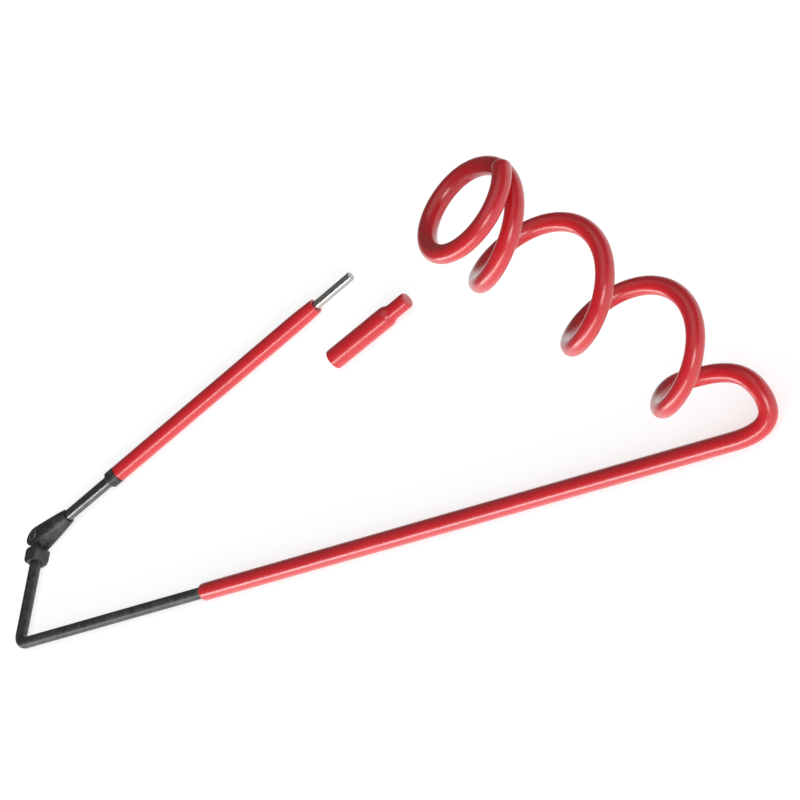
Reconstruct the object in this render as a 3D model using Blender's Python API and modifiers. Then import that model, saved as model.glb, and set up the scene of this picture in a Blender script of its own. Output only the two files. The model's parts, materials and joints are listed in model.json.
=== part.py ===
"""Drain auger: a red-sleeved steel shaft wound into an open coil, with a crank and a folding handle.

The shaft lies along X with its coil at the +X end, standing up along +Z. At the other end the bare
rod bends into a throw, and a knuckle at the end of the throw carries the handle: a spindle with a
collar, a turning grip and a bare tip. A stepped push-on cap for the tip lies beside the handle.
All sizes are in metres.
"""
import math

import bmesh
import bpy
from mathutils import Matrix, Vector

MM = 0.001
GAP = 0.3 * MM

# Shaft and coil
ROD_DIAMETER = 8.0 * MM
SLEEVE_DIAMETER = 12.0 * MM
COIL_SLEEVE_DIAMETER = 11.4 * MM
COIL_RADIUS = 30.0 * MM
COIL_PITCH = 74.0 * MM
COIL_TURNS = 4.0 + 1.0 / 3.0
LEAD_TURNS = 0.81             # the shaft bends into the coil over this much of a turn
LEAD_BENDS = ((0.0, 90.0 * MM), (0.1, 20.0 * MM), (0.22, 10.0 * MM), (0.4, 10.0 * MM),
              (0.6, 42.0 * MM), (0.8, 11.0 * MM), (1.0, COIL_RADIUS))   # bend radii along that
RISE_TURNS = 0.25             # the wire leaves the ground gently over this much of a turn
FLAT_FROM = 3.085             # the last turn flattens into a closing ring from here
FLAT_OVER = 0.55
RING_PITCH = 4.5 * MM
END_FROM = 3.95               # the free end opens out and lifts a little from here
END_SPREAD = 4.2 * MM
END_LIFT = 1.5 * MM
POINTS_PER_TURN = 24
SLEEVE_SIDES = 10
SLEEVE_END_X = -517.5 * MM

# Crank
CORNER_X = -721.0 * MM
ELBOW_RADIUS = 9.0 * MM
THROW_LENGTH = 87.9 * MM
THROW_ANGLE = math.radians(101.25)
BUTT_JOINT_X = SLEEVE_END_X + 40.0 * MM
SLEEVE_SEAM_X = -24.0 * MM

# Folding knuckle
KNUCKLE_HEIGHT = 12.0 * MM
EYE_RADIUS = 7.5 * MM
SLOT_RADIUS = 9.0 * MM
CHEEK = 3.2 * MM
WEB_WIDTH = 7.0 * MM
NECK_OUTLINE = ((8.6 * MM, 4.6 * MM), (10.2 * MM, 6.0 * MM), (17.5 * MM, 6.0 * MM), (20.5 * MM, 4.5 * MM))
SOCKET_FLOOR = 12.0 * MM
PIN_DIAMETER = 4.0 * MM
WASHER_THICKNESS = 0.5 * MM
NUT_DIAMETER = 8.0 * MM
NUT_RECESS = 1.9 * MM
CROSS_PIN_DIAMETER = 2.0 * MM
THROW_PIN_AT = 16.2 * MM

# Handle, measured along the arm from the knuckle's pivot
ARM_ANGLE = math.radians(27.35)
KNUCKLE_END = 29.0 * MM
KNUCKLE_END_HALF = 5.2 * MM
KNUCKLE_CONE = 9.7 * MM       # the fork's corners are turned down to this cone, from the pivot to its end
SPINDLE_START = 13.0 * MM
SPINDLE_DIAMETER = 8.0 * MM
ARM_PIN_AT = 20.0 * MM
COLLAR_START = 72.5 * MM
COLLAR_END = 80.5 * MM
GRIP_START = 81.0 * MM
GRIP_END = 278.7 * MM
GRIP_TAPER = 17.0 * MM
GRIP_END_RADIUS = 5.25 * MM
GRIP_BORE = 8.8 * MM
GRIP_LIP = 1.2 * MM
TIP_DIAMETER = 6.3 * MM
TIP_END = 313.2 * MM
BUSH_LENGTH = 10.0 * MM
BUSH_WALL = 0.65 * MM
RING_AT = 274.8 * MM
RING_WIDTH = 0.8 * MM

# Push-on cap, lying beside the handle: mouth place from the pivot, along and across the arm
CAP_MOUTH = (291.4 * MM, -66.3 * MM)
CAP_ANGLE = math.radians(26.0)
CAP_RADIUS = 7.2 * MM
CAP_BODY = 51.0 * MM
CAP_SHOULDER = 4.0 * MM
CAP_NECK_RADIUS = 5.5 * MM
CAP_LENGTH = 70.0 * MM
CAP_END_WALL = 3.0 * MM

ROUND_STEPS = 24
REST_HEIGHT = SLEEVE_DIAMETER / 2

for old in list(bpy.data.objects):
    bpy.data.objects.remove(old, do_unlink=True)

parts = bpy.data.collections.new("drain_auger")
cutters = bpy.data.collections.new("cutters")
bpy.context.scene.collection.children.link(parts)
bpy.context.scene.collection.children.link(cutters)


# Materials

def material(name, color, roughness, metallic):
    """A Principled material with one colour."""
    made = bpy.data.materials.new(name)
    made.use_nodes = True
    shader = made.node_tree.nodes["Principled BSDF"]
    shader.inputs["Base Color"].default_value = (*color, 1.0)
    shader.inputs["Roughness"].default_value = roughness
    shader.inputs["Metallic"].default_value = metallic
    made.diffuse_color = (*color, 1.0)
    return made


RED_SLEEVE = material("red_pvc", (0.62, 0.02, 0.03), 0.28, 0.0)
BLACK_STEEL = material("black_steel", (0.045, 0.045, 0.05), 0.42, 0.6)
BRIGHT_STEEL = material("bright_steel", (0.62, 0.61, 0.60), 0.25, 1.0)
DARK_STEEL = material("dark_steel", (0.16, 0.15, 0.17), 0.3, 0.9)
NYLON = material("nylon", (0.75, 0.73, 0.68), 0.5, 0.0)


# Frames: empties that place the pieces

def empty(name, parent, location, turn=0.0):
    """An empty turned about Z, which other pieces are placed from."""
    made = bpy.data.objects.new(name, None)
    parts.objects.link(made)
    made.parent = parent
    made.location = location
    made.rotation_euler = (0.0, 0.0, turn)
    return made


def throw_point(distance):
    """A point on the throw's centre line, this far from the sharp corner of the crank."""
    return Vector((CORNER_X + distance * math.cos(THROW_ANGLE),
                   SHAFT_Y + distance * math.sin(THROW_ANGLE), REST_HEIGHT))


# The wire's path

def bend_radius(share):
    """Bend radius at a share of the way from the shaft into the coil."""
    for (low, first), (high, second) in zip(LEAD_BENDS, LEAD_BENDS[1:]):
        if share <= high:
            return first * (second / first) ** ((share - low) / (high - low))
    return COIL_RADIUS


def lead_in(steps=240):
    """Plan of the first turn: a bend whose radius grows from LEAD_RADIUS to COIL_RADIUS.

    It is worked back from where it runs into the coil, so it returns points in order of turns.
    """
    step = LEAD_TURNS / steps
    angle = math.tau * LEAD_TURNS - math.pi / 2
    x = COIL_RADIUS * math.cos(angle)
    y = COIL_RADIUS * math.sin(angle)
    plan = [(LEAD_TURNS, x, y)]
    for index in range(steps, 0, -1):
        middle = (index - 0.5) * step
        radius = bend_radius(middle / LEAD_TURNS)
        heading = math.tau * middle
        x -= radius * math.cos(heading) * math.tau * step
        y -= radius * math.sin(heading) * math.tau * step
        plan.append(((index - 1) * step, x, y))
    return plan[::-1]


LEAD_PLAN = lead_in()
SHAFT_Y = LEAD_PLAN[0][2]
LEAD_X = LEAD_PLAN[0][1]


def end_share(turns):
    """How far the free end has opened: 0 along the coil, 1 at the very end."""
    return (max(turns - END_FROM, 0.0) / (COIL_TURNS - END_FROM)) ** 2


def coil_plan(turns):
    """Plan place of the wire after this many turns."""
    if turns >= LEAD_TURNS:
        angle = math.tau * turns - math.pi / 2
        radius = COIL_RADIUS + END_SPREAD * end_share(turns)
        return radius * math.cos(angle), radius * math.sin(angle)
    place = turns / LEAD_TURNS * (len(LEAD_PLAN) - 1)
    low = int(place)
    part = place - low
    _, x0, y0 = LEAD_PLAN[low]
    _, x1, y1 = LEAD_PLAN[low + 1]
    return x0 + (x1 - x0) * part, y0 + (y1 - y0) * part


def coil_rise(turns):
    """Height of the wire above the shaft after this many turns."""
    if turns < RISE_TURNS:
        return COIL_PITCH * turns ** 2 / (2 * RISE_TURNS)
    if turns < FLAT_FROM:
        return COIL_PITCH * (turns - RISE_TURNS / 2)
    easing = min((turns - FLAT_FROM) / FLAT_OVER, 1.0)
    past = max(turns - FLAT_FROM - FLAT_OVER, 0.0)
    eased = COIL_PITCH * easing - (COIL_PITCH - RING_PITCH) * easing ** 2 / 2
    flat = COIL_PITCH * (FLAT_FROM - RISE_TURNS / 2) + FLAT_OVER * eased + RING_PITCH * past
    return flat + END_LIFT * end_share(turns)


def coil_point(turns):
    """A point on the coil's centre line."""
    x, y = coil_plan(turns)
    return Vector((x, y, REST_HEIGHT + coil_rise(turns)))


def coil_points(start, end):
    """Points along the coil between two turn counts."""
    count = math.ceil((end - start) * POINTS_PER_TURN)
    return [coil_point(start + (end - start) * index / count) for index in range(count + 1)]


# Shapes

def place(made, parent, location=(0, 0, 0), rotation=(0, 0, 0)):
    """Parent an object to a frame and set where it sits in it."""
    made.parent = parent
    made.location = location
    made.rotation_euler = rotation
    return made


def wire(name, points, diameter, look, widths=None, caps=True, resolution=2):
    """A round wire or an open tube along points, as a bevelled curve."""
    curve = bpy.data.curves.new(name, "CURVE")
    curve.dimensions = "3D"
    curve.bevel_depth = diameter / 2
    curve.bevel_resolution = resolution
    curve.use_fill_caps = caps
    spline = curve.splines.new("POLY")
    spline.points.add(len(points) - 1)
    for index, point in enumerate(points):
        spline.points[index].co = (*point, 1.0)
        spline.points[index].radius = widths[index] / diameter if widths else 1.0
    curve.materials.append(look)
    made = bpy.data.objects.new(name, curve)
    parts.objects.link(made)
    return made


def tube(name, points, diameters, wall, look):
    """A tube along points: an open bevelled curve with its wall grown inward."""
    made = wire(name, points, diameters[0], look, diameters, caps=False,
                resolution=(SLEEVE_SIDES - 4) // 2)
    shell = made.modifiers.new("wall", "SOLIDIFY")
    shell.thickness = wall
    shell.offset = -1.0
    shell.use_even_offset = True
    return made


def as_mesh(source):
    """Turn a bevelled curve into a welded mesh object, so that it can be cut."""
    graph = bpy.context.evaluated_depsgraph_get()
    mesh = bpy.data.meshes.new_from_object(source.evaluated_get(graph))
    work = bmesh.new()
    work.from_mesh(mesh)
    bmesh.ops.remove_doubles(work, verts=work.verts, dist=1e-6)
    bmesh.ops.recalc_face_normals(work, faces=work.faces)
    work.to_mesh(mesh)
    work.free()
    name = source.name
    made = bpy.data.objects.new(name + "_mesh", mesh)
    made.matrix_world = source.matrix_world
    parts.objects.link(made)
    bpy.data.objects.remove(source, do_unlink=True)
    made.name = name
    return made


def turned(name, profile, look, steps=ROUND_STEPS, closed=False):
    """A turned piece about local Z. The profile is (radius, height), down its outer side."""
    mesh = bpy.data.meshes.new(name)
    count = len(profile)
    edges = [(index, index + 1) for index in range(count - 1)]
    if closed:
        edges.append((count - 1, 0))
    mesh.from_pydata([(radius, 0.0, height) for radius, height in profile], edges, [])
    mesh.materials.append(look)
    made = bpy.data.objects.new(name, mesh)
    parts.objects.link(made)
    screw = made.modifiers.new("turn", "SCREW")
    screw.axis = "Z"
    screw.angle = math.tau
    screw.steps = steps
    screw.render_steps = steps
    screw.use_merge_vertices = True
    screw.merge_threshold = 1e-6
    screw.use_smooth_shade = True
    return made


def ring_profile(outer, inner, low, high):
    """Closed profile of a plain ring."""
    return [(outer, high), (outer, low), (inner, low), (inner, high)]


def solid_profile(sections):
    """Open profile of a solid turned piece from (radius, height) pairs, top first."""
    return [(0.0, sections[0][1]), *sections, (0.0, sections[-1][1])]


def primitive(name, look, collection=None):
    """An empty mesh object with a bmesh to fill, in the parts unless told otherwise."""
    mesh = bpy.data.meshes.new(name)
    if look:
        mesh.materials.append(look)
    made = bpy.data.objects.new(name, mesh)
    (collection or parts).objects.link(made)
    return made, bmesh.new()


def finish(made, work):
    """Write the bmesh to the object's mesh."""
    work.to_mesh(made.data)
    work.free()
    return made


def cylinder(name, radius, low, high, look=None, collection=None, steps=ROUND_STEPS, at=(0, 0),
             end_radius=None):
    """An upright cylinder, or a cone, between two heights."""
    made, work = primitive(name, look, collection)
    middle = Matrix.Translation((at[0], at[1], (low + high) / 2))
    bmesh.ops.create_cone(work, cap_ends=True, segments=steps, radius1=radius,
                          radius2=end_radius or radius, depth=high - low, matrix=middle)
    return finish(made, work)


def block(name, low, high, look=None, collection=None):
    """A box between two corners."""
    made, work = primitive(name, look, collection)
    size = [b - a for a, b in zip(low, high)]
    middle = [(a + b) / 2 for a, b in zip(low, high)]
    bmesh.ops.create_cube(work, size=1.0, matrix=Matrix.LocRotScale(middle, None, size))
    return finish(made, work)


def prism(name, outline, height, end_height=None):
    """A tool that is symmetric about the X axis: outline of (distance, half width), and its height.

    The height can taper, about the middle of the start's height, to end_height at the far end.
    """
    start, end = outline[0][0], outline[-1][0]
    shrink = 0.0 if end_height is None else (height - end_height) / 2
    made, work = primitive(name, None, cutters)
    rows = []
    for along, half in (*outline, *((along, -half) for along, half in reversed(outline))):
        inset = shrink * (along - start) / (end - start)
        rows.append((work.verts.new((along, half, inset)), work.verts.new((along, half, height - inset))))
    for (low, high), (next_low, next_high) in zip(rows, rows[1:] + rows[:1]):
        work.faces.new((low, next_low, next_high, high))
    count = len(outline)
    for index in range(count - 1):
        for level in (0, 1):
            work.faces.new((rows[index][level], rows[index + 1][level],
                            rows[-index - 2][level], rows[-index - 1][level]))
    bmesh.ops.recalc_face_normals(work, faces=work.faces)
    return finish(made, work)


def combine(target, other, operation):
    """Cut a hidden tool out of an object, or join the tool to it."""
    if other.name in parts.objects:
        parts.objects.unlink(other)
        cutters.objects.link(other)
    other.hide_render = True
    other.display_type = "WIRE"
    step = target.modifiers.new(other.name, "BOOLEAN")
    step.operation = operation
    step.solver = "EXACT"
    step.object = other


LIE_ALONG_X = (0.0, math.pi / 2, 0.0)     # local Z, a turned piece's axis, points along +X


# Shaft

def crank_points():
    """Centre line of the black rod: out of the sleeve, round the elbow and up the throw."""
    turn = THROW_ANGLE
    setback = ELBOW_RADIUS * math.tan((math.pi - turn) / 2)
    centre = Vector((CORNER_X + setback, SHAFT_Y + ELBOW_RADIUS, REST_HEIGHT))
    points = [Vector((BUTT_JOINT_X, SHAFT_Y, REST_HEIGHT)),
              Vector((SLEEVE_END_X, SHAFT_Y, REST_HEIGHT))]
    sweep = math.pi - turn
    steps = 10
    for index in range(steps + 1):
        angle = -math.pi / 2 - sweep * index / steps
        points.append(centre + ELBOW_RADIUS * Vector((math.cos(angle), math.sin(angle), 0.0)))
    points.append(throw_point(THROW_LENGTH - SOCKET_FLOOR - GAP))
    return points


def sleeve_wall(diameter):
    """Wall of a sleeve whose flat-sided bore clears the rod by the gap."""
    return diameter / 2 * math.cos(math.pi / SLEEVE_SIDES) - ROD_DIAMETER / 2 - GAP


def build_shaft(frame):
    """The rod and its red sleeves, from the coil's end to the throw."""
    points = coil_points(0.0, COIL_TURNS)
    butt = Vector((BUTT_JOINT_X + GAP, SHAFT_Y, REST_HEIGHT))
    seam = Vector((SLEEVE_SEAM_X, SHAFT_Y, REST_HEIGHT))
    core = wire("coil_core", [butt, seam, *points[:-1]], ROD_DIAMETER, BRIGHT_STEEL)
    place(core, frame)

    shrink = SLEEVE_DIAMETER - COIL_SLEEVE_DIAMETER
    fade = [max(1.0 - index / (POINTS_PER_TURN * LEAD_TURNS), 0.0) for index in range(len(points))]
    widths = [COIL_SLEEVE_DIAMETER + shrink * amount for amount in fade]
    wall = sleeve_wall(COIL_SLEEVE_DIAMETER)
    place(tube("coil_sleeve", [seam, *points], [SLEEVE_DIAMETER, *widths], wall, RED_SLEEVE), frame)

    start = Vector((SLEEVE_END_X, SHAFT_Y, REST_HEIGHT))
    end = seam - Vector((GAP, 0.0, 0.0))
    wall = sleeve_wall(SLEEVE_DIAMETER)
    middle = [start.lerp(end, part) for part in (0.0, 0.25, 0.5, 0.75, 1.0)]
    place(tube("shaft_sleeve", middle, [SLEEVE_DIAMETER] * 5, wall, RED_SLEEVE), frame)
    build_end_plug(frame)

    rod = as_mesh(wire("crank_rod", crank_points(), ROD_DIAMETER, BLACK_STEEL, resolution=4))
    place(rod, frame)
    return rod


def build_end_plug(frame):
    """The domed plug that closes the sleeve at the coil's end, with a spigot inside it."""
    dome = COIL_SLEEVE_DIAMETER / 2
    spigot = ROD_DIAMETER / 2 - 2 * GAP
    edge = 1.5 * MM
    tip = 4.0 * MM
    rim = [(dome * math.cos(angle), edge + (tip - edge) * math.sin(angle))
           for angle in (math.radians(72.0), math.radians(48.0), math.radians(24.0), 0.0)]
    profile = solid_profile([*rim, (dome, GAP), (spigot, GAP), (spigot, -3.0 * MM)])
    plug = turned("coil_end_plug", profile, RED_SLEEVE, steps=16)
    before, here = coil_points(0.0, COIL_TURNS)[-2:]
    heading = here - before
    turn = heading.to_track_quat("Z", "Y").to_euler()
    place(plug, frame, here, turn)


# Knuckle

def build_throw_knuckle(pivot, rod):
    """The tongue on the throw: an eye on a short web, and a chamfered block that takes the rod."""
    middle = KNUCKLE_HEIGHT / 2
    half = middle - CHEEK - 2 * GAP - WASHER_THICKNESS
    turn = (0.0, 0.0, THROW_ANGLE - math.pi)
    tongue = cylinder("throw_knuckle", EYE_RADIUS - 0.3 * MM, middle - half, middle + half, BLACK_STEEL)
    web = block("throw_web", (0.0, -WEB_WIDTH / 2, middle - half),
                (SOCKET_FLOOR - MM, WEB_WIDTH / 2, middle + half), collection=cutters)
    neck = prism("throw_neck", NECK_OUTLINE, KNUCKLE_HEIGHT)
    hole = cylinder("throw_pivot_hole", PIN_DIAMETER / 2 + GAP, -MM, KNUCKLE_HEIGHT + MM,
                    collection=cutters)
    socket = cylinder("throw_socket", ROD_DIAMETER / 2 + GAP, SOCKET_FLOOR, NECK_OUTLINE[-1][0] + MM,
                      collection=cutters)
    drill = cylinder("throw_drill", CROSS_PIN_DIAMETER / 2 + GAP, -MM, KNUCKLE_HEIGHT + MM,
                     collection=cutters, steps=12, at=(THROW_PIN_AT, 0.0))
    for piece in (tongue, web, neck, hole, drill):
        place(piece, pivot, (0.0, 0.0, -middle), turn)
    place(socket, pivot, (0.0, 0.0, 0.0), (0.0, math.pi / 2, THROW_ANGLE - math.pi))
    combine(tongue, web, "UNION")
    combine(tongue, neck, "UNION")
    for tool in (hole, socket, drill):
        combine(tongue, tool, "DIFFERENCE")
    combine(rod, drill, "DIFFERENCE")
    pin = cylinder("throw_cross_pin", CROSS_PIN_DIAMETER / 2, GAP, KNUCKLE_HEIGHT - GAP, DARK_STEEL,
                   steps=12, at=(THROW_PIN_AT, 0.0))
    place(pin, pivot, (0.0, 0.0, -middle), turn)


def build_hinge(arm):
    """The pivot pin with its domed head, the nut in its recess, and two washers in the slot."""
    half = KNUCKLE_HEIGHT / 2
    shank = PIN_DIAMETER / 2
    head = NUT_DIAMETER / 2
    under = half + GAP
    pin_end = -half + 0.4 * MM
    profile = solid_profile([(0.6 * head, under + 1.5 * MM), (0.9 * head, under + 1.0 * MM),
                             (head, under + 0.5 * MM), (head, under), (shank, under), (shank, pin_end)])
    place(turned("hinge_pin", profile, DARK_STEEL), arm)
    bore = shank + GAP
    low = -half + 0.2 * MM
    nut = turned("hinge_nut", ring_profile(head, bore, low, -half + NUT_RECESS - GAP), DARK_STEEL,
                 steps=6, closed=True)
    place(nut, arm)
    lower = -half + CHEEK + GAP
    for name, base in (("hinge_washer_lower", lower),
                       ("hinge_washer_upper", -lower - WASHER_THICKNESS)):
        ring = ring_profile(EYE_RADIUS - MM, bore, base, base + WASHER_THICKNESS)
        place(turned(name, ring, BRIGHT_STEEL, closed=True), arm)


# Handle

def build_arm_knuckle(arm):
    """The fork that turns round the tongue: an eye with a slot, tapering to the spindle."""
    half = KNUCKLE_HEIGHT / 2
    fork = cylinder("arm_knuckle", EYE_RADIUS, -half, half, BLACK_STEEL)
    taper = prism("arm_taper", ((0.0, EYE_RADIUS - 0.1 * MM), (KNUCKLE_END, KNUCKLE_END_HALF)),
                  KNUCKLE_HEIGHT, end_height=2 * KNUCKLE_END_HALF)
    slot = cylinder("arm_slot", SLOT_RADIUS, CHEEK - half, half - CHEEK, collection=cutters)
    hole = cylinder("arm_pivot_hole", PIN_DIAMETER / 2 + GAP, -half - MM, half + MM, collection=cutters)
    recess = cylinder("nut_recess", NUT_DIAMETER / 2 + GAP, -half - MM, NUT_RECESS - half,
                      collection=cutters)
    slope = (KNUCKLE_CONE - KNUCKLE_END_HALF) / KNUCKLE_END
    cone = cylinder("arm_cone", KNUCKLE_CONE + slope * 2 * EYE_RADIUS, -2 * EYE_RADIUS, KNUCKLE_END + GAP,
                    collection=cutters, end_radius=KNUCKLE_END_HALF - slope * GAP)
    bore = cylinder("arm_bore", SPINDLE_DIAMETER / 2 + GAP, SPINDLE_START - GAP, KNUCKLE_END + MM,
                    collection=cutters)
    drill = cylinder("arm_drill", CROSS_PIN_DIAMETER / 2 + GAP, -KNUCKLE_HEIGHT, KNUCKLE_HEIGHT,
                     collection=cutters, steps=12, at=(ARM_PIN_AT, 0.0))
    for piece in (fork, slot, hole, recess, drill):
        place(piece, arm)
    place(taper, arm, (0.0, 0.0, -half))
    for tool in (bore, cone):
        place(tool, arm, (0.0, 0.0, 0.0), LIE_ALONG_X)
    combine(fork, taper, "UNION")
    combine(fork, cone, "INTERSECT")
    for tool in (slot, hole, recess, bore, drill):
        combine(fork, tool, "DIFFERENCE")
    reach = 4.9 * MM
    pin = cylinder("arm_cross_pin", CROSS_PIN_DIAMETER / 2, -reach, reach, DARK_STEEL, steps=12,
                   at=(ARM_PIN_AT, 0.0))
    place(pin, arm)
    return drill


def build_spindle(arm, drill):
    """The handle's steel spindle: stepped down inside the grip, grooved, and bare at the tip."""
    thick = SPINDLE_DIAMETER / 2
    thin = TIP_DIAMETER / 2
    groove = thin - 0.45 * MM
    groove_end = RING_AT + RING_WIDTH + 2 * GAP
    step = COLLAR_END - 0.5 * MM
    sections = [(thin - 0.8 * MM, TIP_END), (thin, TIP_END - 0.8 * MM), (thin, groove_end),
                (groove, groove_end), (groove, RING_AT), (thin, RING_AT),
                (thin, step), (thick, step), (thick, SPINDLE_START)]
    spindle = turned("handle_spindle", solid_profile(sections), BRIGHT_STEEL)
    place(spindle, arm, (0.0, 0.0, 0.0), LIE_ALONG_X)
    combine(spindle, drill, "DIFFERENCE")
    bore = thick + GAP
    chamfer = 0.8 * MM
    outer = SLEEVE_DIAMETER / 2
    profile = [(outer - chamfer, COLLAR_END), (outer, COLLAR_END - chamfer),
               (outer, COLLAR_START + chamfer), (outer - chamfer, COLLAR_START),
               (bore, COLLAR_START), (bore, COLLAR_END)]
    collar = turned("handle_collar", profile, BLACK_STEEL, closed=True)
    place(collar, arm, (0.0, 0.0, 0.0), LIE_ALONG_X)
    inner = groove + GAP
    ring = turned("grip_retaining_ring", ring_profile(inner + 1.1 * MM, inner, RING_AT + GAP,
                                                      RING_AT + GAP + RING_WIDTH), DARK_STEEL, closed=True)
    place(ring, arm, (0.0, 0.0, 0.0), LIE_ALONG_X)


def build_grip(grip):
    """The turning grip: a red tube tapered at its far end, on a nylon bush at each end."""
    outer = SLEEVE_DIAMETER / 2
    bore = GRIP_BORE / 2
    lip = TIP_DIAMETER / 2 + GAP
    profile = [(GRIP_END_RADIUS - 0.3 * MM, GRIP_END), (GRIP_END_RADIUS, GRIP_END - 0.6 * MM),
               (outer, GRIP_END - GRIP_TAPER), (outer, GRIP_START + 0.5 * MM),
               (outer - 0.5 * MM, GRIP_START), (bore, GRIP_START), (bore, GRIP_END - GRIP_LIP),
               (lip, GRIP_END - GRIP_LIP), (lip, GRIP_END)]
    sleeve = turned("grip_sleeve", profile, RED_SLEEVE, closed=True)
    place(sleeve, grip, (0.0, 0.0, 0.0), LIE_ALONG_X)
    inner = TIP_DIAMETER / 2 + GAP
    for name, start in (("grip_bush_inner", GRIP_START + 0.5 * MM),
                        ("grip_bush_outer", RING_AT - GAP - BUSH_LENGTH)):
        ring = ring_profile(inner + BUSH_WALL, inner, start, start + BUSH_LENGTH)
        place(turned(name, ring, NYLON, closed=True), grip, (0.0, 0.0, 0.0), LIE_ALONG_X)


def build_cap(cap):
    """The stepped push-on cap: a wide hollow body over the grip's end, a narrow neck over the tip."""
    wide = SLEEVE_DIAMETER / 2 + GAP
    narrow = TIP_DIAMETER / 2 + GAP
    floor = CAP_LENGTH - CAP_END_WALL
    step = CAP_BODY - 1.5 * MM
    profile = [(0.0, CAP_LENGTH), (CAP_NECK_RADIUS - 1.2 * MM, CAP_LENGTH),
               (CAP_NECK_RADIUS, CAP_LENGTH - 1.2 * MM), (CAP_NECK_RADIUS, CAP_BODY + CAP_SHOULDER),
               (CAP_RADIUS, CAP_BODY), (CAP_RADIUS, 0.5 * MM), (CAP_RADIUS - 0.3 * MM, 0.0),
               (wide, 0.0), (wide, step), (narrow, step), (narrow, floor), (0.0, floor)]
    made = turned("end_cap", profile, RED_SLEEVE)
    place(made, cap, (0.0, 0.0, 0.0), LIE_ALONG_X)


# Assembly

def recentre(frame):
    """Move the whole object so that its box stands centred on the origin."""
    bpy.context.view_layer.update()
    graph = bpy.context.evaluated_depsgraph_get()
    corners = []
    for made in parts.objects:
        if made.type == "EMPTY":
            continue
        seen = made.evaluated_get(graph)
        mesh = seen.to_mesh()
        corners += [made.matrix_world @ vertex.co for vertex in mesh.vertices]
        seen.to_mesh_clear()
    low = [min(corner[axis] for corner in corners) for axis in range(3)]
    high = [max(corner[axis] for corner in corners) for axis in range(3)]
    frame.location = (-(low[0] + high[0]) / 2, -(low[1] + high[1]) / 2, -low[2])


def main():
    frame = empty("auger_frame", None, (0.0, 0.0, 0.0))
    pivot = empty("handle_pivot", frame, throw_point(THROW_LENGTH))
    arm = empty("arm_frame", pivot, (0.0, 0.0, 0.0), ARM_ANGLE)
    rod = build_shaft(frame)
    build_throw_knuckle(pivot, rod)
    build_hinge(arm)
    drill = build_arm_knuckle(arm)
    build_spindle(arm, drill)
    build_grip(empty("grip_frame", arm, (0.0, 0.0, 0.0)))
    drop = CAP_RADIUS - REST_HEIGHT
    cap = empty("cap_frame", arm, (CAP_MOUTH[0], CAP_MOUTH[1], drop), CAP_ANGLE - ARM_ANGLE)
    build_cap(cap)
    recentre(frame)


main()
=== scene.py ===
"""Looks of the drain auger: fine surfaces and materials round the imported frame, a floor, lights, camera.

Places are measured from the frame's nodes and joints. Sizes repeated from the part are named below.
"""
import json
import math

import bmesh
import bpy
from mathutils import Matrix, Vector


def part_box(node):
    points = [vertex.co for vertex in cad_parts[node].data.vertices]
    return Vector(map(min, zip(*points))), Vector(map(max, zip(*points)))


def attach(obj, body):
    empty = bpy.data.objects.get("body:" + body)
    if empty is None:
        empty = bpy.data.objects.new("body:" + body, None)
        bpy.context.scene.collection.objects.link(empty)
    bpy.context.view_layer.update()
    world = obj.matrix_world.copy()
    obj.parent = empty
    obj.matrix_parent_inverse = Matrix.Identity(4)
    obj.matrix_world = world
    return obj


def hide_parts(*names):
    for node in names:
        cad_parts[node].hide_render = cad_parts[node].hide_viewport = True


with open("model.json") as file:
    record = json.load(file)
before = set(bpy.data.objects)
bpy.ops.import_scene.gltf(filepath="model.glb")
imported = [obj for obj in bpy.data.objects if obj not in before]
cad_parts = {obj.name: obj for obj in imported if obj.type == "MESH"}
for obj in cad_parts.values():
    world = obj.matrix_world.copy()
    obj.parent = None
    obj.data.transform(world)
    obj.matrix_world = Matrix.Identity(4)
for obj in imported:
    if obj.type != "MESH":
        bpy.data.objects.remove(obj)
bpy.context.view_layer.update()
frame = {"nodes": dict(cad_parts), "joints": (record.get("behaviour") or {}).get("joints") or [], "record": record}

MM = 0.001

# The shaft's wire, repeated from the part: a bend that opens out into the coil, then a flat ring
ROD_RADIUS = 4.0 * MM
SLEEVE_RADIUS = 6.0 * MM
COIL_SLEEVE_RADIUS = 5.7 * MM
COIL_RADIUS = 30.0 * MM
COIL_PITCH = 74.0 * MM
COIL_TURNS = 4.0 + 1.0 / 3.0
LEAD_TURNS = 0.81
LEAD_BENDS = ((0.0, 90.0 * MM), (0.1, 20.0 * MM), (0.22, 10.0 * MM), (0.4, 10.0 * MM),
              (0.6, 42.0 * MM), (0.8, 11.0 * MM), (1.0, COIL_RADIUS))
RISE_TURNS = 0.25
FLAT_FROM = 3.085
FLAT_OVER = 0.55
RING_PITCH = 4.5 * MM
END_FROM = 3.95
END_SPREAD = 4.2 * MM
END_LIFT = 1.5 * MM
CORNER_TO_COIL = 721.0 * MM
ELBOW_RADIUS = 9.0 * MM
THROW_ANGLE = math.radians(101.25)
THROW_LENGTH = 87.9 * MM
PLUG_LENGTH = 4.0 * MM
LIP_ROUNDING = 0.8 * MM
SLEEVE_GAP = 0.25 * MM
SLEEVE_MOUTH_DEPTH = 12.0 * MM
ROD_IN_SLEEVE = 30.0 * MM
ROD_END_FROM_PIVOT = 14.0 * MM

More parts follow.
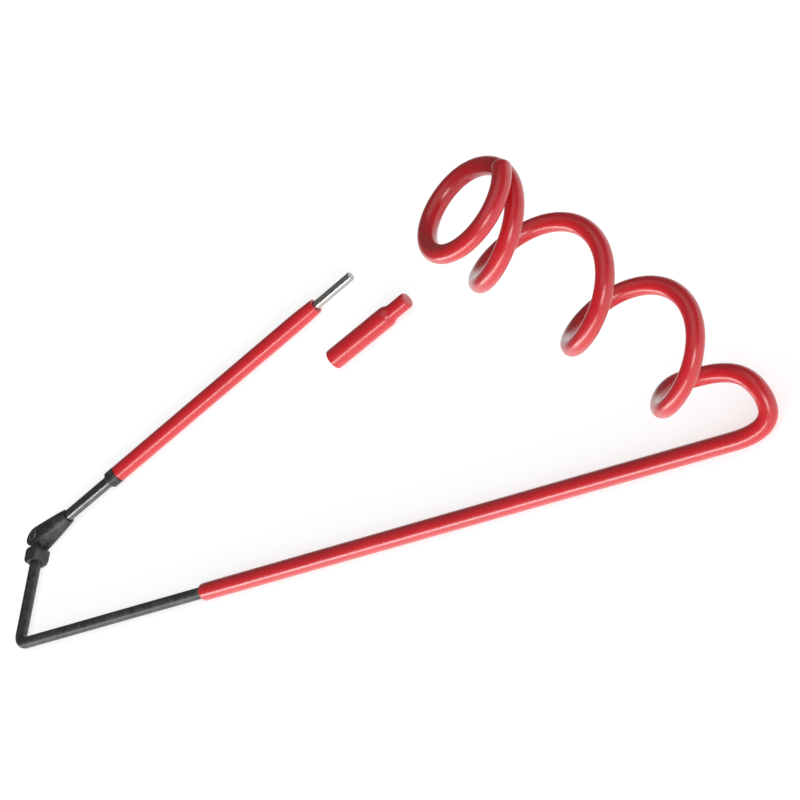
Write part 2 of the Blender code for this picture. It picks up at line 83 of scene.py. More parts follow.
# The knuckle and the handle, repeated from the part, measured from the pivot
EYE_RADIUS = 7.5 * MM
KNUCKLE_END = 29.0 * MM
KNUCKLE_END_HALF = 5.2 * MM
KNUCKLE_CONE = 9.7 * MM
SLOT_RADIUS = 9.0 * MM
CHEEK = 3.2 * MM
PIN_HOLE_RADIUS = 2.3 * MM
NUT_RECESS_RADIUS = 4.3 * MM
NUT_RECESS_DEPTH = 1.9 * MM
SOCKET_GAP = 0.15 * MM
TONGUE_RADIUS = 7.2 * MM
TONGUE_HALF = 1.7 * MM
WEB_HALF = 3.5 * MM
NECK_OUTLINE = ((8.6 * MM, 4.6 * MM), (10.2 * MM, 6.0 * MM), (17.5 * MM, 6.0 * MM), (20.5 * MM, 4.5 * MM))
PIN_RADIUS = 2.0 * MM
PIN_HEAD_RADIUS = 4.0 * MM
NUT_RADIUS = 4.0 * MM
SPINDLE_RADIUS = 4.0 * MM
TIP_RADIUS = 3.15 * MM
GROOVE_RADIUS = 2.7 * MM
SPINDLE_STEP = 80.0 * MM
BLACKENED_TO = 76.0 * MM
BRIGHT_FROM = 90.0 * MM
RING_AT = 274.8 * MM
RING_GROOVE_END = 276.2 * MM
GRIP_BORE_RADIUS = 4.4 * MM
GRIP_LIP_RADIUS = 3.45 * MM
GRIP_LIP_LENGTH = 1.2 * MM
GRIP_END_RADIUS = 5.25 * MM
GRIP_TAPER_LENGTH = 17.0 * MM
BUSH_RADIUS = 4.1 * MM
CAP_RADIUS = 7.2 * MM
CAP_NECK_RADIUS = 5.5 * MM
CAP_BODY_LENGTH = 51.0 * MM
CAP_STEP_LENGTH = 4.0 * MM
CAP_BORE_RADIUS = 6.3 * MM
CAP_TIP_BORE_RADIUS = 3.45 * MM

# How finely the meshes are divided
RINGS_PER_TURN = 84
ROUND = 96
COVER_ROUND = 44
ROD_ROUND = 40
SHARP_ANGLE = math.radians(42.0)
BEVEL_ANGLE = math.radians(50.0)
FLAT_ANGLE = math.radians(1.0)

JOINTS = {joint["name"]: joint for joint in frame["joints"]}
PIVOT = Vector(JOINTS["handle_fold"]["pos_m"])
ARM = Vector(JOINTS["grip_spin"]["axis"]).normalized()
CAP_AXIS = -Vector(JOINTS["cap_slide"]["axis"]).normalized()
UP = Vector((0.0, 0.0, 1.0))


# Places read from the frame

def along(node, axis, origin):
    """Nearest and farthest reach of a CAD node along an axis from a point."""
    reach = [(vertex.co - origin).dot(axis) for vertex in frame["nodes"][node].data.vertices]
    return min(reach), max(reach)


THROW = Vector((math.cos(THROW_ANGLE), math.sin(THROW_ANGLE), 0.0))
CORNER = PIVOT - THROW * THROW_LENGTH
SLEEVE_END_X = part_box("shaft_sleeve")[0][0]
CAP_LOW, CAP_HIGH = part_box("end_cap")
CAP_CENTRE = (Vector(CAP_LOW) + Vector(CAP_HIGH)) / 2


# The wire's path

def bend_radius(share):
    """Bend radius at a share of the way from the shaft into the coil."""
    for (low, first), (high, second) in zip(LEAD_BENDS, LEAD_BENDS[1:]):
        if share <= high:
            return first * (second / first) ** ((share - low) / (high - low))
    return COIL_RADIUS


def lead_in(steps=240):
    """Plan of the first turn, worked back from where it runs into the coil."""
    step = LEAD_TURNS / steps
    angle = math.tau * LEAD_TURNS - math.pi / 2
    x = COIL_RADIUS * math.cos(angle)
    y = COIL_RADIUS * math.sin(angle)
    plan = [(x, y)]
    for index in range(steps, 0, -1):
        middle = (index - 0.5) * step
        radius = bend_radius(middle / LEAD_TURNS)
        heading = math.tau * middle
        x -= radius * math.cos(heading) * math.tau * step
        y -= radius * math.sin(heading) * math.tau * step
        plan.append((x, y))
    return plan[::-1]


LEAD_PLAN = lead_in()
COIL_AXIS = CORNER + Vector((CORNER_TO_COIL, -LEAD_PLAN[0][1], 0.0))


def end_share(turns):
    """How far the free end has opened: 0 along the coil, 1 at the very end."""
    return (max(turns - END_FROM, 0.0) / (COIL_TURNS - END_FROM)) ** 2


def coil_plan(turns):
    """Plan place of the wire, from the coil's axis, after this many turns."""
    if turns >= LEAD_TURNS:
        angle = math.tau * turns - math.pi / 2
        radius = COIL_RADIUS + END_SPREAD * end_share(turns)
        return radius * math.cos(angle), radius * math.sin(angle)
    place = turns / LEAD_TURNS * (len(LEAD_PLAN) - 1)
    low = int(place)
    part = place - low
    x0, y0 = LEAD_PLAN[low]
    x1, y1 = LEAD_PLAN[low + 1]
    return x0 + (x1 - x0) * part, y0 + (y1 - y0) * part


def coil_rise(turns):
    """Height of the wire above the shaft after this many turns."""
    if turns < RISE_TURNS:
        return COIL_PITCH * turns ** 2 / (2 * RISE_TURNS)
    if turns < FLAT_FROM:
        return COIL_PITCH * (turns - RISE_TURNS / 2)
    easing = min((turns - FLAT_FROM) / FLAT_OVER, 1.0)
    past = max(turns - FLAT_FROM - FLAT_OVER, 0.0)
    eased = COIL_PITCH * easing - (COIL_PITCH - RING_PITCH) * easing ** 2 / 2
    flat = COIL_PITCH * (FLAT_FROM - RISE_TURNS / 2) + FLAT_OVER * eased + RING_PITCH * past
    return flat + END_LIFT * end_share(turns)


def coil_point(turns):
    """A point on the coil's centre line."""
    x, y = coil_plan(turns)
    return COIL_AXIS + Vector((x, y, coil_rise(turns)))


# Materials

# Most of a noise texture's factor lies between these
NOISE_LOW = 0.3
NOISE_HIGH = 0.7


def new_material(name):
    """A node material, its shader and its node tree."""
    made = bpy.data.materials.new(name)
    made.use_nodes = True
    tree = made.node_tree
    return made, tree, tree.nodes["Principled BSDF"]


def noise(tree, scale, detail=4.0, stretch=(1.0, 1.0, 1.0), roughness=0.55):
    """Noise on object coordinates, which may be stretched."""
    place = tree.nodes.new("ShaderNodeTexCoord")
    mapping = tree.nodes.new("ShaderNodeMapping")
    mapping.inputs["Scale"].default_value = stretch
    texture = tree.nodes.new("ShaderNodeTexNoise")
    texture.inputs["Scale"].default_value = scale
    texture.inputs["Detail"].default_value = detail
    texture.inputs["Roughness"].default_value = roughness
    tree.links.new(place.outputs["Object"], mapping.inputs["Vector"])
    tree.links.new(mapping.outputs["Vector"], texture.inputs["Vector"])
    return texture


def ramp(tree, source, stops):
    """Colour ramp on a texture's factor; stops are (place, colour)."""
    made = tree.nodes.new("ShaderNodeValToRGB")
    stretch = made.color_ramp
    stretch.elements[0].position = stops[0][0]
    stretch.elements[0].color = (*stops[0][1], 1.0)
    stretch.elements[1].position = stops[-1][0]
    stretch.elements[1].color = (*stops[-1][1], 1.0)
    for where, colour in stops[1:-1]:
        stretch.elements.new(where).color = (*colour, 1.0)
    tree.links.new(source.outputs["Fac"], made.inputs["Fac"])
    return made.outputs["Color"]


def spread(tree, source, low, high):
    """A texture's factor spread over a range of values."""
    made = tree.nodes.new("ShaderNodeMapRange")
    made.inputs["From Min"].default_value = NOISE_LOW
    made.inputs["From Max"].default_value = NOISE_HIGH
    made.inputs["To Min"].default_value = low
    made.inputs["To Max"].default_value = high
    tree.links.new(source.outputs["Fac"], made.inputs["Value"])
    return made.outputs["Result"]


def bump(tree, layers):
    """Bump nodes in a chain; layers are (texture, strength, depth)."""
    normal = None
    for texture, strength, depth in layers:
        made = tree.nodes.new("ShaderNodeBump")
        made.inputs["Strength"].default_value = strength
        made.inputs["Distance"].default_value = depth
        tree.links.new(texture.outputs["Fac"], made.inputs["Height"])
        if normal:
            tree.links.new(normal, made.inputs["Normal"])
        normal = made.outputs["Normal"]
    return normal


def red_pvc():
    """Glossy red PVC: slow colour drift, slight gloss drift and a faint orange peel."""
    made, tree, shader = new_material("red_pvc")
    drift = noise(tree, 18.0, 3.0)
    peel = noise(tree, 500.0, 2.0)
    smear = noise(tree, 60.0, 3.0)
    reds = [(NOISE_LOW, (0.50, 0.006, 0.012)), (NOISE_HIGH, (0.58, 0.012, 0.020))]
    tree.links.new(ramp(tree, drift, reds), shader.inputs["Base Color"])
    tree.links.new(spread(tree, smear, 0.28, 0.38), shader.inputs["Roughness"])
    tree.links.new(bump(tree, [(peel, 0.05, 0.05 * MM), (smear, 0.08, 0.2 * MM)]), shader.inputs["Normal"])
    shader.inputs["IOR"].default_value = 1.53
    shader.inputs["Coat Weight"].default_value = 0.6
    shader.inputs["Coat Roughness"].default_value = 0.20
    return made


def black_steel():
    """Black coated steel: satin, mottled, with lighter rubbed patches."""
    made, tree, shader = new_material("black_steel")
    mottle = noise(tree, 160.0, 6.0, roughness=0.65)
    grain = noise(tree, 1500.0, 3.0)
    tree.links.new(ramp(tree, mottle, [(0.35, (0.030, 0.030, 0.033)), (0.55, (0.058, 0.057, 0.061)),
                                       (0.75, (0.125, 0.121, 0.125))]), shader.inputs["Base Color"])
    tree.links.new(spread(tree, mottle, 0.34, 0.50), shader.inputs["Roughness"])
    tree.links.new(bump(tree, [(grain, 0.18, 0.05 * MM), (mottle, 0.25, 0.25 * MM)]),
                   shader.inputs["Normal"])
    shader.inputs["Metallic"].default_value = 0.35
    return made


def steel(name, dark, light, low, high):
    """Drawn steel: brushed along its length, with slight changes in colour and gloss."""
    made, tree, shader = new_material(name)
    brushed = noise(tree, 420.0, 5.0, stretch=(0.25, 1.0, 1.0))
    stain = noise(tree, 60.0, 5.0)
    tree.links.new(ramp(tree, stain, [(NOISE_LOW, dark), (NOISE_HIGH, light)]), shader.inputs["Base Color"])
    tree.links.new(spread(tree, brushed, low, high), shader.inputs["Roughness"])
    tree.links.new(bump(tree, [(brushed, 0.12, 0.04 * MM)]), shader.inputs["Normal"])
    shader.inputs["Metallic"].default_value = 1.0
    return made


def spindle_steel():
    """Bright drawn steel, blackened from the knuckle to the grip."""
    made, tree, shader = new_material("spindle_steel")
    brushed = noise(tree, 420.0, 5.0)
    stain = noise(tree, 90.0, 5.0)
    place = tree.nodes.new("ShaderNodeTexCoord")
    reach = tree.nodes.new("ShaderNodeVectorMath")
    reach.operation = "DOT_PRODUCT"
    reach.inputs[1].default_value = ARM
    fade = tree.nodes.new("ShaderNodeMapRange")
    start = PIVOT.dot(ARM)
    fade.inputs["From Min"].default_value = start + BLACKENED_TO
    fade.inputs["From Max"].default_value = start + BRIGHT_FROM
    mix = tree.nodes.new("ShaderNodeMix")
    mix.data_type = "RGBA"
    tree.links.new(place.outputs["Object"], reach.inputs[0])
    tree.links.new(reach.outputs["Value"], fade.inputs["Value"])
    tree.links.new(fade.outputs["Result"], mix.inputs["Factor"])
    tree.links.new(ramp(tree, stain, [(NOISE_LOW, (0.13, 0.125, 0.13)), (NOISE_HIGH, (0.23, 0.22, 0.225))]),
                   mix.inputs["A"])
    tree.links.new(ramp(tree, stain, [(NOISE_LOW, (0.42, 0.41, 0.40)), (NOISE_HIGH, (0.56, 0.55, 0.53))]),
                   mix.inputs["B"])
    tree.links.new(mix.outputs["Result"], shader.inputs["Base Color"])
    tree.links.new(spread(tree, brushed, 0.22, 0.34), shader.inputs["Roughness"])
    tree.links.new(bump(tree, [(brushed, 0.12, 0.04 * MM)]), shader.inputs["Normal"])
    shader.inputs["Metallic"].default_value = 1.0
    return made


def nylon():
    """Natural nylon: off-white, matt, slightly cloudy."""
    made, tree, shader = new_material("nylon")
    cloud = noise(tree, 120.0, 3.0)
    tree.links.new(ramp(tree, cloud, [(NOISE_LOW, (0.62, 0.59, 0.53)), (NOISE_HIGH, (0.72, 0.69, 0.63))]),
                   shader.inputs["Base Color"])
    tree.links.new(spread(tree, cloud, 0.42, 0.55), shader.inputs["Roughness"])
    tree.links.new(bump(tree, [(cloud, 0.1, 0.1 * MM)]), shader.inputs["Normal"])
    return made


LOOKS = {
    "red_pvc": red_pvc(),
    "black_steel": black_steel(),
    "bright_steel": steel("bright_steel", (0.36, 0.35, 0.345), (0.50, 0.49, 0.48), 0.18, 0.32),
    "dark_steel": steel("dark_steel", (0.10, 0.10, 0.105), (0.17, 0.165, 0.17), 0.28, 0.42),
    "nylon": nylon(),
}
SLOTS = {row["node"]: row["material_slot"] for row in frame["record"]["subparts"]}


# Mesh work

def as_object(name, work):
    """Turn a bmesh into a plain object in the scene."""
    mesh = bpy.data.meshes.new(name)
    work.to_mesh(mesh)
    work.free()
    made = bpy.data.objects.new(name, mesh)
    bpy.context.scene.collection.objects.link(made)
    return made


def new_piece(name, work, slot, body, nodes):
    """Turn a bmesh into a smooth piece that rides on a body and stands for CAD nodes."""
    bmesh.ops.recalc_face_normals(work, faces=work.faces)
    made = as_object(name, work)
    made.data.materials.append(LOOKS[slot])
    made.data.shade_smooth()
    made.data.set_sharp_from_angle(angle=SHARP_ANGLE)
    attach(made, body)
    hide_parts(*nodes)
    return made


def frames_along(points):
    """Unit directions and sideways vectors along a path, carried on without twisting."""
    last = len(points) - 1
    directions = [(points[min(index + 1, last)] - points[max(index - 1, 0)]).normalized()
                  for index in range(last + 1)]
    side = directions[0].orthogonal().normalized()
    sides = []
    for direction in directions:
        side = (side - direction * side.dot(direction)).normalized()
        sides.append(side.copy())
    return directions, sides


def sweep(work, rings, count):
    """Skin rings, each (centre, direction, side, radius); a zero radius closes to a point."""
    loops = []
    for centre, direction, side, radius in rings:
        if radius <= 0.0:
            loops.append([work.verts.new(centre)])
            continue
        other = direction.cross(side)
        loops.append([work.verts.new(centre + radius * (math.cos(math.tau * step / count) * side
                                                        + math.sin(math.tau * step / count) * other))
                      for step in range(count)])
    for first, second in zip(loops, loops[1:]):
        for step in range(count):
            after = (step + 1) % count
            if len(first) == 1:
                work.faces.new((first[0], second[after], second[step]))
            elif len(second) == 1:
                work.faces.new((first[step], first[after], second[0]))
            else:
                work.faces.new((first[step], first[after], second[after], second[step]))


def path_rings(points, radii):
    """Rings along a path."""
    directions, sides = frames_along(points)
    return [(point, direction, side, radius)
            for point, direction, side, radius in zip(points, directions, sides, radii)]


def turned(name, origin, axis, profile, slot, body, nodes, count=ROUND):
    """A turned piece: profile of (distance along the axis, radius), from pole or rim to pole or rim."""
    work = bmesh.new()
    side = axis.orthogonal().normalized()
    rings = [(origin + axis * distance, axis, side, radius) for distance, radius in profile]
    closed = profile[0][1] > 0.0
    if closed:
        rings.append(rings[0])
    sweep(work, rings, count)
    if closed:
        bmesh.ops.remove_doubles(work, verts=work.verts, dist=1e-7)
    return new_piece(name, work, slot, body, nodes)


def rounded(corners, arc=5):
    """A profile from (distance, radius, rounding) corners, each rounded with a short curve."""
    profile = []
    last = len(corners) - 1
    for index, (distance, radius, rounding) in enumerate(corners):
        here = Vector((distance, radius))
        if rounding <= 0.0 or index in (0, last):
            profile.append((distance, radius))
            continue
        before = Vector(corners[index - 1][:2]) - here
        after = Vector(corners[index + 1][:2]) - here
        reach = min(rounding, before.length * 0.45, after.length * 0.45)
        start = here + before.normalized() * reach
        end = here + after.normalized() * reach
        for step in range(arc + 1):
            part = step / arc
            point = start.lerp(here, part).lerp(here.lerp(end, part), part)
            profile.append((point.x, point.y))
    return profile


def arc_points(centre, radius, start, end, steps, plane):
    """Points on an arc in a plane given by two unit vectors."""
    first, second = plane
    return [centre + radius * (math.cos(start + (end - start) * step / steps) * first
                               + math.sin(start + (end - start) * step / steps) * second)
            for step in range(steps + 1)]


# Shaft

def build_cover():
    """The red sleeve over shaft and coil in one length, with a rolled lip and a domed end."""
    start = Vector((SLEEVE_END_X, CORNER.y, PIVOT.z))
    bend = coil_point(0.0)
    runs = 60
    straight = [start.lerp(bend, step / runs) for step in range(runs)]
    turns = int(COIL_TURNS * RINGS_PER_TURN)
    coil = [coil_point(COIL_TURNS * step / turns) for step in range(turns + 1)]
    points = straight + coil
    radii = []
    for index in range(len(points)):
        turn = max(index - len(straight), 0) / RINGS_PER_TURN
        fade = min(turn / LEAD_TURNS, 1.0)
        radii.append(SLEEVE_RADIUS + (COIL_SLEEVE_RADIUS - SLEEVE_RADIUS) * fade)
    rings = path_rings(points, radii)
    _, inwards, side, _ = rings[0]
    curve_steps = 8
    bore = ROD_RADIUS + SLEEVE_GAP
    wall = SLEEVE_RADIUS - bore
    lip = []
    for step in range(curve_steps):
        angle = math.pi * step / curve_steps
        place = start + inwards * (LIP_ROUNDING - LIP_ROUNDING * math.sin(angle))
        lip.append((place, inwards, side, bore + wall * (1 - math.cos(angle)) / 2))
    deep = (start + inwards * SLEEVE_MOUTH_DEPTH, inwards, side, bore)
    rings[0] = (start + inwards * LIP_ROUNDING, inwards, side, SLEEVE_RADIUS)
    centre, direction, side, radius = rings[-1]
    dome = []
    for step in range(1, curve_steps):
        angle = math.pi / 2 * step / curve_steps
        place = centre + direction * PLUG_LENGTH * math.sin(angle)
        dome.append((place, direction, side, radius * math.cos(angle)))
    dome.append((centre + direction * PLUG_LENGTH, direction, side, 0.0))
    work = bmesh.new()
    sweep(work, [deep, *lip, *rings, *dome], COVER_ROUND)
    new_piece("red_cover", work, "red_pvc", "shaft", ["shaft_sleeve", "coil_sleeve", "coil_end_plug"])


def build_crank():
    """The black rod: out of the sleeve, round the elbow and up the throw."""
    setback = ELBOW_RADIUS * math.tan((math.pi - THROW_ANGLE) / 2)
    centre = CORNER + Vector((setback, ELBOW_RADIUS, 0.0))
    sweep_angle = math.pi - THROW_ANGLE
    elbow = arc_points(centre, ELBOW_RADIUS, -math.pi / 2, -math.pi / 2 - sweep_angle, 22,
                       (Vector((1, 0, 0)), Vector((0, 1, 0))))
    start = Vector((SLEEVE_END_X + ROD_IN_SLEEVE, CORNER.y, PIVOT.z))
    straight = [start.lerp(elbow[0], step / 30) for step in range(30)]
    top = PIVOT - THROW * ROD_END_FROM_PIVOT
    throw = [elbow[-1].lerp(top, step / 16) for step in range(1, 17)]
    points = straight + elbow + throw
    rings = path_rings(points, [ROD_RADIUS] * len(points))
    first = (*rings[0][:3], 0.0)
    last = (*rings[-1][:3], 0.0)
    work = bmesh.new()
    sweep(work, [first, *rings, last], ROD_ROUND)
    new_piece("black_crank_rod", work, "black_steel", "shaft", ["crank_rod"])


# Knuckle

def bevelled(name, base, tools, width, body, nodes):
    """A black piece from a base solid, joined to and cut by tools, with its edges rounded."""
    for tool, operation in tools:
        step = base.modifiers.new(tool.name, "BOOLEAN")
        step.operation = operation
        step.solver = "EXACT"
        step.object = tool
    graph = bpy.context.evaluated_depsgraph_get()
    mesh = bpy.data.meshes.new_from_object(base.evaluated_get(graph))
    work = bmesh.new()
    work.from_mesh(mesh)
    bmesh.ops.remove_doubles(work, verts=work.verts, dist=1e-6)
    bmesh.ops.dissolve_limit(work, angle_limit=FLAT_ANGLE, verts=work.verts, edges=work.edges)
    for used in (base, *(tool for tool, _ in tools)):
        bpy.data.objects.remove(used, do_unlink=True)
    bpy.data.meshes.remove(mesh)
    sharp = [edge for edge in work.edges
             if len(edge.link_faces) == 2 and edge.calc_face_angle(0.0) > BEVEL_ANGLE]
    bmesh.ops.bevel(work, geom=sharp, offset=width, offset_type="OFFSET", segments=3, profile=0.5,
                    affect="EDGES", clamp_overlap=True)
    bmesh.ops.triangulate(work, faces=[face for face in work.faces if len(face.verts) > 4])
    new_piece(name, work, "black_steel", body, nodes)


def tool_cylinder(name, radius, low, high, matrix, end_radius=None):
    """A plain cylinder or cone between two heights of a local frame."""
    work = bmesh.new()
    bmesh.ops.create_cone(work, cap_ends=True, segments=64, radius1=radius,
                          radius2=radius if end_radius is None else end_radius, depth=high - low,
                          matrix=matrix @ Matrix.Translation((0, 0, (low + high) / 2)))
    return as_object(name, work)


def tool_block(name, low, high, matrix):
    """A plain box between two corners of a local frame."""
    work = bmesh.new()
    size = Vector(high) - Vector(low)
    middle = (Vector(high) + Vector(low)) / 2
    bmesh.ops.create_cube(work, size=1.0, matrix=matrix @ Matrix.LocRotScale(middle, None, size))
    return as_object(name, work)


def local_frame(origin, axis):
    """Matrix of a frame with its X along an axis and its Z up."""
    side = UP.cross(axis).normalized()
    return Matrix.Translation(origin) @ Matrix((axis, side, UP)).transposed().to_4x4()


def tool_prism(name, outline, height, matrix, end_height=None):
    """A prism symmetric about its local X axis, which may taper in height to its far end."""
    start = outline[0][0]
    end = outline[-1][0]
    shrink = 0.0 if end_height is None else (height - end_height) / 2
    work = bmesh.new()
    rows = []
    for reach, half in (*outline, *((reach, -half) for reach, half in reversed(outline))):
        inset = shrink * (reach - start) / (end - start)
        rows.append([work.verts.new(matrix @ Vector((reach, half, level)))
                     for level in (inset - height / 2, height / 2 - inset)])
    for (low, high), (next_low, next_high) in zip(rows, rows[1:] + rows[:1]):
        work.faces.new((low, next_low, next_high, high))
    for index in range(len(outline) - 1):
        for level in (0, 1):
            work.faces.new((rows[index][level], rows[index + 1][level],
                            rows[-index - 2][level], rows[-index - 1][level]))
    bmesh.ops.recalc_face_normals(work, faces=work.faces)
    return as_object(name, work)


def build_fork():
    """The arm's fork, tapering to the spindle, with rounded edges."""
    half = PIVOT.z
    slope = (KNUCKLE_CONE - KNUCKLE_END_HALF) / KNUCKLE_END
    outline = ((0.0, EYE_RADIUS - 0.1 * MM), (KNUCKLE_END, KNUCKLE_END_HALF))
    spot = local_frame(PIVOT, ARM)
    lie = spot @ Matrix.Rotation(math.pi / 2, 4, "Y")
    base = tool_cylinder("fork_base", EYE_RADIUS, -half, half, spot)
    taper = tool_prism("fork_taper", outline, 2 * half, spot, 2 * KNUCKLE_END_HALF)
    cone = tool_cylinder("fork_cone", KNUCKLE_CONE + slope * 2 * EYE_RADIUS, -2 * EYE_RADIUS,
                         KNUCKLE_END + MM, lie, end_radius=KNUCKLE_END_HALF - slope * MM)
    slot = tool_cylinder("fork_slot", SLOT_RADIUS, CHEEK - half, half - CHEEK, spot)
    hole = tool_cylinder("fork_hole", PIN_HOLE_RADIUS, -half - MM, half + MM, spot)
    recess = tool_cylinder("fork_recess", NUT_RECESS_RADIUS, -half - MM, NUT_RECESS_DEPTH - half, spot)
    bore = tool_cylinder("fork_bore", SPINDLE_RADIUS + SOCKET_GAP, 22 * MM, KNUCKLE_END + MM, lie)
    tools = [(taper, "UNION"), (cone, "INTERSECT"), (slot, "DIFFERENCE"), (hole, "DIFFERENCE"),
             (recess, "DIFFERENCE"), (bore, "DIFFERENCE")]
    bevelled("fork", base, tools, 0.8 * MM, "handle", ["arm_knuckle", "arm_cross_pin"])


def build_tongue():
    """The throw's tongue and the chamfered block that takes the rod, with rounded edges."""
    spot = local_frame(PIVOT, -THROW)
    lie = spot @ Matrix.Rotation(math.pi / 2, 4, "Y")
    base = tool_cylinder("tongue_base", TONGUE_RADIUS, -TONGUE_HALF, TONGUE_HALF, spot)
    web = tool_block("tongue_web", (0, -WEB_HALF, -TONGUE_HALF), (9.4 * MM, WEB_HALF, TONGUE_HALF), spot)
    neck = tool_prism("tongue_neck", NECK_OUTLINE, 2 * PIVOT.z, spot)
    socket = tool_cylinder("tongue_socket", ROD_RADIUS + SOCKET_GAP, 17 * MM, 22 * MM, lie)
    hole = tool_cylinder("tongue_hole", PIN_HOLE_RADIUS, -TONGUE_HALF - MM, TONGUE_HALF + MM, spot)
    tools = [(web, "UNION"), (neck, "UNION"), (socket, "DIFFERENCE"), (hole, "DIFFERENCE")]
    bevelled("tongue", base, tools, 0.7 * MM, "shaft", ["throw_knuckle", "throw_cross_pin"])


def fine_ring(name, node, axis, bore, outer, rounding, slot, body, count=ROUND):
    """A turned ring or six-sided nut in the place of a CAD node, with its outer rims rounded."""
    low, high = along(node, axis, PIVOT)
    corners = [(high, bore, 0.0), (high, outer, rounding), (low, outer, rounding), (low, bore, 0.0)]
    turned(name, PIVOT, axis, rounded(corners), slot, body, [node], count)


def build_pin():
    """The pivot pin with its domed head, its nut and its washers."""
    low, high = along("hinge_pin", UP, PIVOT)
    under = PIVOT.z + 0.3 * MM
    corners = [(high, 0.0, 0.0), (high, 0.62 * PIN_HEAD_RADIUS, 0.8 * MM),
               (under + 0.4 * MM, PIN_HEAD_RADIUS, 0.5 * MM), (under, PIN_HEAD_RADIUS, 0.15 * MM),
               (under, PIN_RADIUS, 0.1 * MM), (low, PIN_RADIUS, 0.2 * MM), (low, 0.0, 0.0)]
    turned("pivot_pin", PIVOT, UP, rounded(corners), "dark_steel", "handle", ["hinge_pin"])
    fine_ring("pivot_nut", "hinge_nut", UP, PIN_HOLE_RADIUS, NUT_RADIUS, 0.3 * MM, "dark_steel", "handle",
              count=6)
    for node in ("hinge_washer_lower", "hinge_washer_upper"):
        fine_ring("fine_" + node, node, UP, PIN_HOLE_RADIUS, EYE_RADIUS, 0.15 * MM, "dark_steel", "handle")


# Handle

def build_spindle():
    """The spindle, stepped down inside the grip and grooved for its ring."""
    low, high = along("handle_spindle", ARM, PIVOT)
    corners = [(high, 0.0, 0.0), (high, TIP_RADIUS, 0.9 * MM), (RING_GROOVE_END, TIP_RADIUS, 0.1 * MM),
               (RING_GROOVE_END, GROOVE_RADIUS, 0.05 * MM), (RING_AT, GROOVE_RADIUS, 0.05 * MM),
               (RING_AT, TIP_RADIUS, 0.1 * MM), (SPINDLE_STEP, TIP_RADIUS, 0.05 * MM),
               (SPINDLE_STEP, SPINDLE_RADIUS, 0.05 * MM), (low, SPINDLE_RADIUS, 0.2 * MM), (low, 0.0, 0.0)]
    spindle = turned("steel_spindle", PIVOT, ARM, rounded(corners), "bright_steel", "handle",
                     ["handle_spindle"])
    spindle.data.materials[0] = spindle_steel()


def build_collar():
    """The black collar at the grip's near end."""
    low, high = along("handle_collar", ARM, PIVOT)
    bore = SPINDLE_RADIUS + 0.05 * MM
    corners = [(low, bore, 0.0), (low, SLEEVE_RADIUS, 0.9 * MM), (high, SLEEVE_RADIUS, 0.9 * MM),
               (high, bore, 0.0)]
    turned("black_collar", PIVOT, ARM, rounded(corners), "black_steel", "handle", ["handle_collar"])


def build_grip():
    """The red grip, narrowing at its far end, with its bushes and the ring that keeps it on."""
    fine_ring("fine_retaining_ring", "grip_retaining_ring", ARM, 3.0 * MM, BUSH_RADIUS, 0.15 * MM,
              "dark_steel", "handle")
    low, high = along("grip_sleeve", ARM, PIVOT)
    inside = high - GRIP_LIP_LENGTH
    corners = [(low, GRIP_BORE_RADIUS, 0.0), (low, SLEEVE_RADIUS, 0.7 * MM),
               (high - GRIP_TAPER_LENGTH, SLEEVE_RADIUS, 9.0 * MM), (high, GRIP_END_RADIUS, 0.6 * MM),
               (high, GRIP_LIP_RADIUS, 0.2 * MM), (inside, GRIP_LIP_RADIUS, 0.1 * MM),
               (inside, GRIP_BORE_RADIUS, 0.1 * MM), (low + MM, GRIP_BORE_RADIUS, 0.0)]
    turned("red_grip", PIVOT, ARM, rounded(corners, arc=8), "red_pvc", "grip", ["grip_sleeve"])
    for node in ("grip_bush_inner", "grip_bush_outer"):
        fine_ring("fine_" + node, node, ARM, GRIP_LIP_RADIUS, BUSH_RADIUS, 0.15 * MM, "nylon", "grip")


def build_cap():
    """The stepped push-on cap, hollow from its mouth."""
    low, high = along("end_cap", CAP_AXIS, CAP_CENTRE)
    side = UP.cross(CAP_AXIS)
    left, right = along("end_cap", side, CAP_CENTRE)
    origin = CAP_CENTRE + side * (left + right) / 2
    body = low + CAP_BODY_LENGTH
    floor = body - 1.5 * MM
    tip_floor = high - 3.0 * MM
    corners = [(high, 0.0, 0.0), (high, CAP_NECK_RADIUS, 1.6 * MM),
               (body + CAP_STEP_LENGTH, CAP_NECK_RADIUS, 1.5 * MM), (body, CAP_RADIUS, 1.5 * MM),
               (low, CAP_RADIUS, 0.5 * MM), (low, CAP_BORE_RADIUS, 0.4 * MM),
               (floor, CAP_BORE_RADIUS, 0.4 * MM), (floor, CAP_TIP_BORE_RADIUS, 0.2 * MM),
               (tip_floor, CAP_TIP_BORE_RADIUS, 0.5 * MM), (tip_floor, 0.0, 0.0)]
    turned("red_end_cap", origin, CAP_AXIS, rounded(corners), "red_pvc", "cap", ["end_cap"])


for node, made in frame["nodes"].items():
    made.data.materials.clear()
    made.data.materials.append(LOOKS[SLOTS[node]])

build_cover()
build_crank()
build_fork()
build_tongue()
build_pin()
build_spindle()
build_collar()
build_grip()
build_cap()


# Stage

FLOOR_HALF = 12.0

# The photograph's view: azimuth and elevation of the camera, and its roll to the left, in degrees
VIEW_AZIMUTH = -31.73
VIEW_ELEVATION = 30.0
VIEW_ROLL = 56.33
VIEW_DISTANCE = 3.532
VIEW_AIM = COIL_AXIS + Vector((-362.9 * MM, 95.15 * MM, 0.0))
LENS = 247.5
SENSOR = 36.0


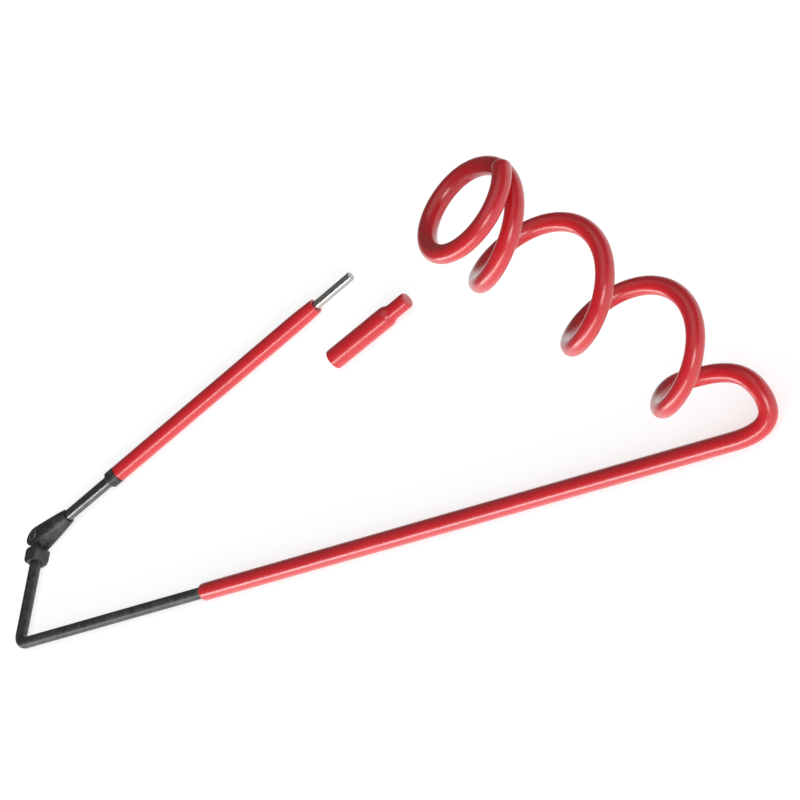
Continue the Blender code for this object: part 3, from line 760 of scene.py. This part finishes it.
def build_floor():
    """A wide pale floor."""
    work = bmesh.new()
    bmesh.ops.create_grid(work, x_segments=1, y_segments=1, size=FLOOR_HALF)
    floor = as_object("floor", work)
    pale, _, shader = new_material("pale_floor")
    shader.inputs["Base Color"].default_value = (0.93, 0.93, 0.93, 1.0)
    shader.inputs["Emission Color"].default_value = (1.0, 1.0, 1.0, 1.0)
    shader.inputs["Emission Strength"].default_value = 0.6
    shader.inputs["Roughness"].default_value = 0.9
    shader.inputs["Specular IOR Level"].default_value = 0.1
    floor.data.materials.append(pale)
    floor.location = (0.0, 0.0, -0.2 * MM)


def away_from(azimuth, elevation):
    """Unit direction; azimuth is from +X towards +Y, in degrees."""
    turn = math.radians(azimuth)
    rise = math.radians(elevation)
    return Vector((math.cos(turn) * math.cos(rise), math.sin(turn) * math.cos(rise), math.sin(rise)))


def sun_light(name, azimuth, elevation, angle, strength):
    """A soft distant light from a direction."""
    data = bpy.data.lights.new(name, "SUN")
    data.angle = math.radians(angle)
    data.energy = strength
    made = bpy.data.objects.new(name, data)
    made.rotation_mode = "QUATERNION"
    made.rotation_quaternion = away_from(azimuth, elevation).to_track_quat("Z", "Y")
    bpy.context.scene.collection.objects.link(made)


def strip_light(name, azimuth, elevation, distance, size, power):
    """A long softbox near the horizon, which draws the bright line along the tubes."""
    data = bpy.data.lights.new(name, "AREA")
    data.shape = "RECTANGLE"
    data.size, data.size_y = size
    data.energy = power
    made = bpy.data.objects.new(name, data)
    away = away_from(azimuth, elevation)
    made.location = away * distance
    made.rotation_mode = "QUATERNION"
    made.rotation_quaternion = away.to_track_quat("Z", "Y")
    bpy.context.scene.collection.objects.link(made)


def build_lights():
    """A dim surround, a broad front light, a weak light from above and a strip near the horizon."""
    world = bpy.data.worlds.new("studio")
    bpy.context.scene.world = world
    world.use_nodes = True
    background = world.node_tree.nodes["Background"]
    background.inputs["Color"].default_value = (1.0, 1.0, 1.0, 1.0)
    background.inputs["Strength"].default_value = 0.16
    sun_light("front_light", azimuth=-38.0, elevation=20.0, angle=26.0, strength=1.1)
    sun_light("top_light", azimuth=20.0, elevation=70.0, angle=60.0, strength=0.5)
    strip_light("horizon_strip", azimuth=-108.0, elevation=8.0, distance=2.6, size=(5.0, 0.50), power=70.0)


def build_camera():
    """A long lens at the photograph's viewing angle, from beyond the coil, rolled to the left."""
    data = bpy.data.cameras.new("camera")
    data.sensor_width = SENSOR
    data.lens = LENS
    made = bpy.data.objects.new("camera", data)
    away = away_from(VIEW_AZIMUTH, VIEW_ELEVATION)
    roll = math.radians(VIEW_ROLL)
    made.location = VIEW_AIM + away * VIEW_DISTANCE
    made.rotation_mode = "QUATERNION"
    made.rotation_quaternion = (away.to_track_quat("Z", "Y").to_matrix()
                                @ Matrix.Rotation(-roll, 3, "Z")).to_quaternion()
    data.clip_start = 0.1
    data.clip_end = 60.0
    bpy.context.scene.collection.objects.link(made)
    bpy.context.scene.camera = made


build_floor()
build_lights()
build_camera()
bpy.context.scene.view_settings.view_transform = "Standard"
